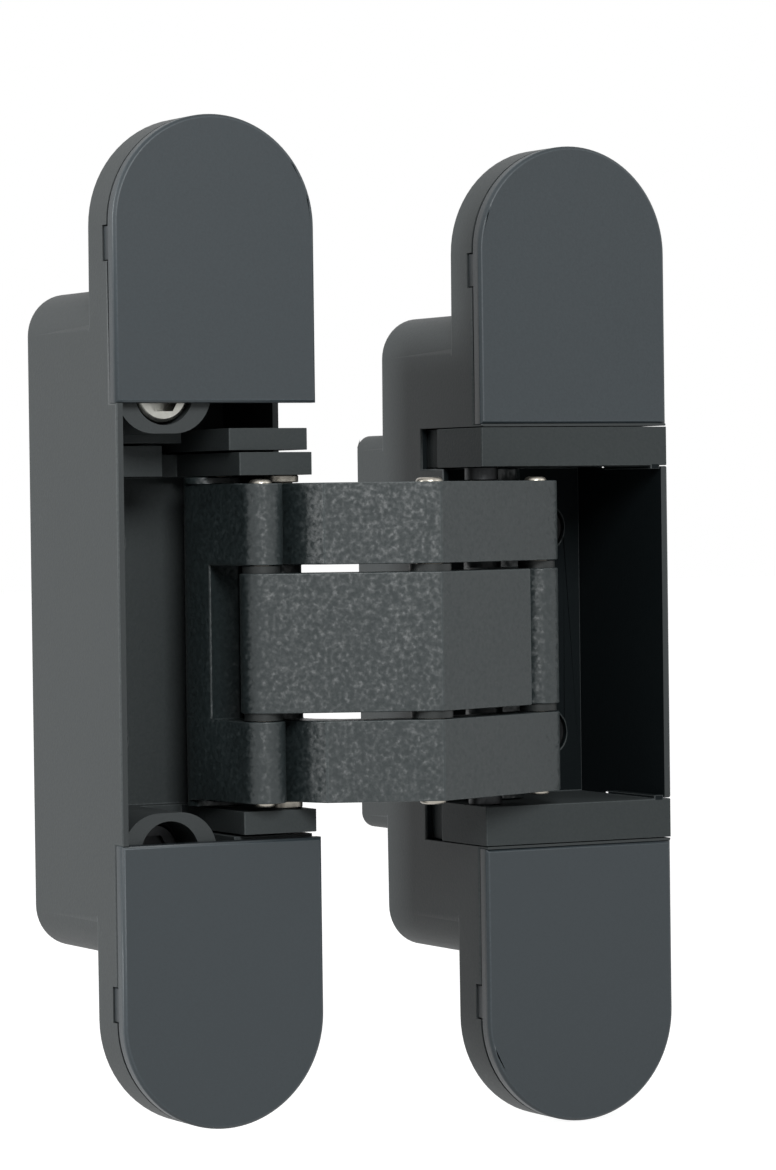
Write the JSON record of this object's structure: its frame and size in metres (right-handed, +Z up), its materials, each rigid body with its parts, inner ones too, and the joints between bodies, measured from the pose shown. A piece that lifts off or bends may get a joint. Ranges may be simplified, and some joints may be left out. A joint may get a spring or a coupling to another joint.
{
  "type": "concealed door hinge",
  "caption": "Concealed hinge for a door, shown wide open: two housings whose screws are hidden under caps, joined by crossing arms and links, adjustable in height, side and depth.",
  "frame": {"origin": "middle of the plane on which the frame housing's wings seat, on the line of its two screws", "axes": "+X from the frame housing to the door housing, +Y into the frame and the door, +Z up along the hinge"},
  "size_m": [0.0685, 0.0402, 0.1124],
  "materials": {
    "housing": "fine textured dark grey coat on a die casting",
    "cap": "very fine grained graphite grey moulding",
    "arm": "coarse speckled dark grey coat on a die casting",
    "carriage": "fine textured dark grey coat on a die casting",
    "pin": "ground and nickel plated",
    "screw": "bright zinc plated, turned head",
    "bearing": "dark dry running bearing, smooth"
  },
  "bodies": {
    "frame_housing": {"frame_housing": "housing", "frame_cap_upper": "cap", "frame_cap_lower": "cap", "frame_clamp_screw_upper": "screw", "frame_clamp_screw_lower": "screw"},
    "height_carriage": {"height_carriage": "carriage", "side_screw_upper": "screw", "side_screw_lower": "screw"},
    "arm_carriage": {"arm_carriage": "carriage", "frame_arm_pin": "pin", "frame_link_pin": "pin", "frame_washer_upper": "bearing", "frame_washer_lower": "bearing"},
    "outer_arm": {"outer_arm": "arm", "centre_pin": "pin", "door_link_end_pin": "pin"},
    "middle_arm": {"middle_arm": "arm", "centre_bush_upper": "bearing", "centre_bush_lower": "bearing", "frame_end_bush_upper": "bearing", "frame_end_bush_lower": "bearing"},
    "frame_link": {"frame_link": "arm", "frame_link_end_pin": "pin"},
    "door_link": {"door_link": "arm", "door_end_bush_upper": "bearing", "door_end_bush_lower": "bearing"},
    "door_carriage": {"door_carriage": "carriage", "door_arm_pin": "pin", "door_link_pin": "pin", "door_washer_upper": "bearing", "door_washer_lower": "bearing", "depth_screw_upper": "screw", "depth_screw_lower": "screw"},
    "door_housing": {"door_housing": "housing", "door_cap_upper": "cap", "door_cap_lower": "cap"}
  },
  "joints": [
    {"name": "height_adjust", "type": "slide", "parent": "frame_housing", "child": "height_carriage", "axis": [0, 0, 1], "range_m": [-0.0001, 0.0049]},
    {"name": "side_adjust", "type": "slide", "parent": "height_carriage", "child": "arm_carriage", "axis": [1, 0, 0], "range_m": [-0.001, 0.001]},
    {"name": "door_fold", "type": "hinge", "parent": "arm_carriage", "child": "outer_arm", "pos_m": [0.0097, -0.0025, -0.0024], "axis": [0, 0, -1], "range_deg": [0, 112.3]},
    {"name": "centre_pivot", "type": "hinge", "parent": "outer_arm", "child": "middle_arm", "pos_m": [0.02225, -0.0136, -0.0024], "axis": [0, 0, -1], "range_deg": [-44.61, 0]},
    {"name": "frame_link_pivot", "type": "hinge", "parent": "middle_arm", "child": "frame_link", "pos_m": [0.0051, -0.0067, -0.0024], "axis": [0, 0, -1], "range_deg": [0, 45.38]},
    {"name": "door_link_pivot", "type": "hinge", "parent": "outer_arm", "child": "door_link", "pos_m": [0.0394, -0.0067, -0.0024], "axis": [0, 0, -1], "range_deg": [-45.38, 0]},
    {"name": "door_arm_pivot", "type": "hinge", "parent": "middle_arm", "child": "door_carriage", "pos_m": [0.0348, -0.0025, -0.0024], "axis": [0, 0, -1], "range_deg": [0, 112.31]},
    {"name": "depth_adjust", "type": "slide", "parent": "door_carriage", "child": "door_housing", "axis": [0, 1, 0], "range_m": [-0.001, 0.001]}
  ],
  "couplings": [
    {"joint": "centre_pivot", "follows": "door_fold", "ratio": -0.39712},
    {"joint": "frame_link_pivot", "follows": "door_fold", "ratio": 0.404},
    {"joint": "door_link_pivot", "follows": "door_fold", "ratio": -0.404},
    {"joint": "door_arm_pivot", "follows": "door_fold", "ratio": 1}
  ]
}
